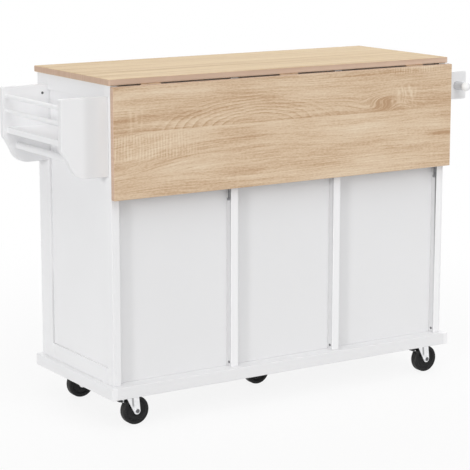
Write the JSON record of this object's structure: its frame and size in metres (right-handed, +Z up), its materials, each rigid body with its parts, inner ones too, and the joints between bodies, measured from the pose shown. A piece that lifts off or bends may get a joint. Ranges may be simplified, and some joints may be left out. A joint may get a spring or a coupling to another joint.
{
  "type": "rolling kitchen island",
  "caption": "White kitchen island on swivel casters with an oak-look worktop, a hinged drop leaf along the back, a spice rack on one end and a towel rail on the other.",
  "frame": {"origin": "on the floor, under the middle of the whole island", "axes": "+X to the spice rack end, +Y to the drop leaf side, +Z up; doors and drawers face -Y"},
  "size_m": [1.29, 0.467, 0.915],
  "materials": {
    "oak_laminate": "satin oak-look laminate with fine grain",
    "white_paint": "satin white paint on board",
    "bare_board": "pale matt board",
    "zinc_steel": "zinc-plated steel",
    "knob_steel": "satin steel",
    "white_plastic": "smooth white plastic",
    "black_tread": "matt black",
    "black_plastic": "matt black",
    "dark_screw": "dull grey screw heads"
  },
  "bodies": {
    "island": {"worktop": "oak_laminate", "base_board": "white_paint", "rack_end_board": "white_paint", "rack_end_frame": "white_paint", "towel_end_board": "white_paint", "towel_end_frame": "white_paint", "rack_side_divider": "white_paint", "towel_side_divider": "white_paint", "back_panels": "white_paint", "top_stretchers": "white_paint", "shelves": "white_paint", "shelf_pins": "zinc_steel", "face_frame": "white_paint", "door_hinge_frame_halves": "zinc_steel", "door_hinge_pins": "zinc_steel", "drawer_runners": "bare_board", "rack_cheeks": "white_paint", "rack_guard_rails": "white_paint", "rack_lower_rail": "white_paint", "rack_shelf": "white_paint", "towel_brackets": "white_paint", "towel_rail_knobs": "white_plastic", "towel_rail": "zinc_steel", "leaf_hinge_top_halves": "zinc_steel", "leaf_hinge_pins": "zinc_steel", "prop_wall_plates": "zinc_steel", "caster_plates": "zinc_steel", "screw_heads": "dark_screw"},
    "leaf": {"drop_leaf": "oak_laminate", "leaf_hinge_leaf_halves": "zinc_steel", "prop_catches": "zinc_steel"},
    "leaf_props": {"prop_arms": "zinc_steel"},
    "rack_side_door": {"rack_side_door": "white_paint", "rack_side_door_hinge_halves": "zinc_steel", "rack_side_door_knob": "knob_steel"},
    "towel_side_door": {"towel_side_door": "white_paint", "towel_side_door_hinge_halves": "zinc_steel", "towel_side_door_knob": "knob_steel"},
    "bottom_drawer": {"bottom_drawer_front": "white_paint", "bottom_drawer_box": "bare_board", "bottom_drawer_knob": "knob_steel"},
    "middle_drawer": {"middle_drawer_front": "white_paint", "middle_drawer_box": "bare_board", "middle_drawer_knob": "knob_steel"},
    "top_drawer": {"top_drawer_front": "white_paint", "top_drawer_box": "bare_board", "top_drawer_knob": "knob_steel"},
    "rear_rack_caster": {"rear_rack_fork": "zinc_steel"},
    "rear_rack_wheel": {"rear_rack_wheel": "black_tread"},
    "rear_towel_caster": {"rear_towel_fork": "zinc_steel"},
    "rear_towel_wheel": {"rear_towel_wheel": "black_tread"},
    "front_rack_caster": {"front_rack_fork": "zinc_steel"},
    "front_rack_wheel": {"front_rack_wheel": "black_tread"},
    "front_towel_caster": {"front_towel_fork": "zinc_steel"},
    "front_towel_wheel": {"front_towel_wheel": "black_tread"},
    "centre_caster": {"centre_fork": "zinc_steel"},
    "centre_wheel": {"centre_wheel": "black_tread"},
    "rear_rack_brake": {"rear_rack_brake_lever": "black_plastic"},
    "rear_towel_brake": {"rear_towel_brake_lever": "black_plastic"}
  },
  "joints": [
    {"name": "leaf_hinge", "type": "hinge", "parent": "island", "child": "leaf", "pos_m": [-0.022, 0.1995, 0.8965], "axis": [1, 0, 0], "range_deg": [0, 90]},
    {"name": "prop_pivot", "type": "hinge", "parent": "island", "child": "leaf_props", "pos_m": [-0.022, 0.1875, 0.78803], "axis": [1, 0, 0], "range_deg": [0, 120.1]},
    {"name": "rack_side_door_hinge", "type": "hinge", "parent": "island", "child": "rack_side_door", "pos_m": [0.472, -0.2118, 0.5105], "axis": [0, 0, 1], "range_deg": [0, 110]},
    {"name": "towel_side_door_hinge", "type": "hinge", "parent": "island", "child": "towel_side_door", "pos_m": [-0.516, -0.2118, 0.5105], "axis": [0, 0, -1], "range_deg": [0, 110]},
    {"name": "bottom_drawer_slide", "type": "slide", "parent": "island", "child": "bottom_drawer", "axis": [0, -1, 0], "range_m": [0, 0.26]},
    {"name": "middle_drawer_slide", "type": "slide", "parent": "island", "child": "middle_drawer", "axis": [0, -1, 0], "range_m": [0, 0.26]},
    {"name": "top_drawer_slide", "type": "slide", "parent": "island", "child": "top_drawer", "axis": [0, -1, 0], "range_m": [0, 0.26]},
    {"name": "rear_rack_swivel", "type": "hinge", "parent": "island", "child": "rear_rack_caster", "pos_m": [0.46, 0.152, 0.0805], "axis": [0, 0, 1], "continuous": true},
    {"name": "rear_rack_roll", "type": "hinge", "parent": "rear_rack_caster", "child": "rear_rack_wheel", "pos_m": [0.43, 0.152, 0.038], "axis": [0, 1, 0], "continuous": true},
    {"name": "rear_rack_brake_pivot", "type": "hinge", "parent": "rear_rack_caster", "child": "rear_rack_brake", "pos_m": [0.47, 0.152, 0.0675], "axis": [0, 1, 0], "range_deg": [-15, 0]},
    {"name": "rear_towel_swivel", "type": "hinge", "parent": "island", "child": "rear_towel_caster", "pos_m": [-0.504, 0.152, 0.0805], "axis": [0, 0, 1], "continuous": true},
    {"name": "rear_towel_roll", "type": "hinge", "parent": "rear_towel_caster", "child": "rear_towel_wheel", "pos_m": [-0.534, 0.152, 0.038], "axis": [0, 1, 0], "continuous": true},
    {"name": "rear_towel_brake_pivot", "type": "hinge", "parent": "rear_towel_caster", "child": "rear_towel_brake", "pos_m": [-0.494, 0.152, 0.0675], "axis": [0, 1, 0], "range_deg": [-15, 0]},
    {"name": "front_rack_swivel", "type": "hinge", "parent": "island", "child": "front_rack_caster", "pos_m": [0.46, -0.152, 0.0805], "axis": [0, 0, 1], "continuous": true},
    {"name": "front_rack_roll", "type": "hinge", "parent": "front_rack_caster", "child": "front_rack_wheel", "pos_m": [0.43, -0.152, 0.038], "axis": [0, 1, 0], "continuous": true},
    {"name": "front_towel_swivel", "type": "hinge", "parent": "island", "child": "front_towel_caster", "pos_m": [-0.504, -0.152, 0.0805], "axis": [0, 0, 1], "continuous": true},
    {"name": "front_towel_roll", "type": "hinge", "parent": "front_towel_caster", "child": "front_towel_wheel", "pos_m": [-0.534, -0.152, 0.038], "axis": [0, 1, 0], "continuous": true},
    {"name": "centre_swivel", "type": "hinge", "parent": "island", "child": "centre_caster", "pos_m": [-0.022, 0, 0.0805], "axis": [0, 0, 1], "continuous": true},
    {"name": "centre_roll", "type": "hinge", "parent": "centre_caster", "child": "centre_wheel", "pos_m": [-0.052, 0, 0.038], "axis": [0, 1, 0], "continuous": true}
  ],
  "couplings": [
    {"joint": "prop_pivot", "follows": "leaf_hinge", "ratio": 1.3333}
  ]
}
